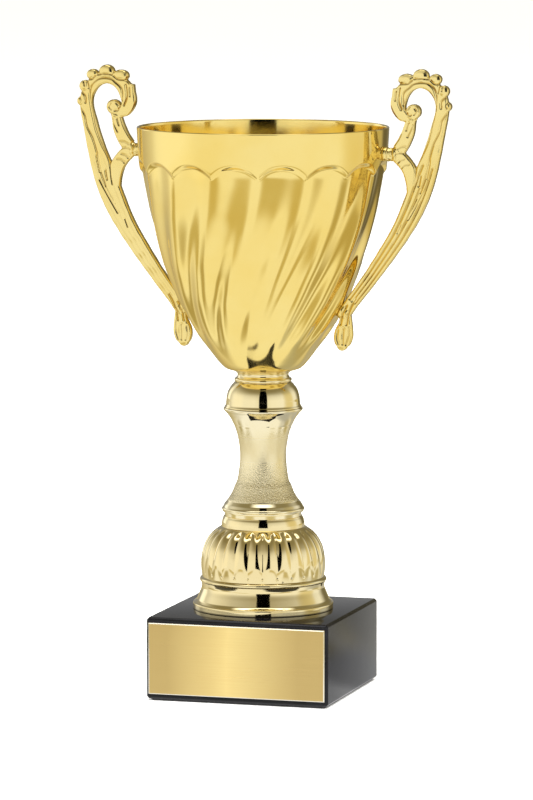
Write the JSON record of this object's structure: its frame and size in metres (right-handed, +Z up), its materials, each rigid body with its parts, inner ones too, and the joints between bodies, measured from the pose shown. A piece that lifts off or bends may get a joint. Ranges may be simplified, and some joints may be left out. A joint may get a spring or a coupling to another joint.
{
  "type": "cup trophy",
  "caption": "Two-handled gold trophy cup with a swirl-fluted bowl on a waisted stem and gadrooned foot, set on a black marble block with a blank engraving plate.",
  "frame": {"origin": "centre of the base's underside, on the surface the trophy stands on", "axes": "+Z up along the clamping rod; the front with the engraving plate faces -Y; the handles point to +X and -X"},
  "size_m": [0.1656, 0.1074, 0.2679],
  "materials": {
    "satin_gold": "satin gold plate",
    "polished_gold": "polished pale gold plate",
    "frosted_gold": "gold plate, frosted at the waist",
    "cast_gold": "cast and gold plated",
    "brushed_gold": "brushed, lacquered",
    "black_marble": "polished",
    "felt": "pressed felt",
    "tape": "double-sided tape",
    "zinc_steel": "zinc plated"
  },
  "bodies": {
    "root": {"marble_base": "black_marble", "base_felt": "felt", "engraving_plate": "brushed_gold", "plate_tape": "tape", "foot_dome": "polished_gold", "stem_column": "frosted_gold", "stem_knob": "polished_gold", "cup_collar": "polished_gold", "cup_bowl": "satin_gold", "handle_left": "cast_gold", "handle_right": "cast_gold", "screw_left_upper": "zinc_steel", "screw_left_lower": "zinc_steel", "screw_right_upper": "zinc_steel", "screw_right_lower": "zinc_steel", "washer_left_upper": "zinc_steel", "washer_left_lower": "zinc_steel", "washer_right_upper": "zinc_steel", "washer_right_lower": "zinc_steel", "threaded_rod": "zinc_steel", "cup_washer": "zinc_steel", "cup_lock_washer": "zinc_steel", "cup_nut": "zinc_steel", "base_washer": "zinc_steel", "base_lock_washer": "zinc_steel", "base_nut": "zinc_steel"}
  },
  "joints": []
}
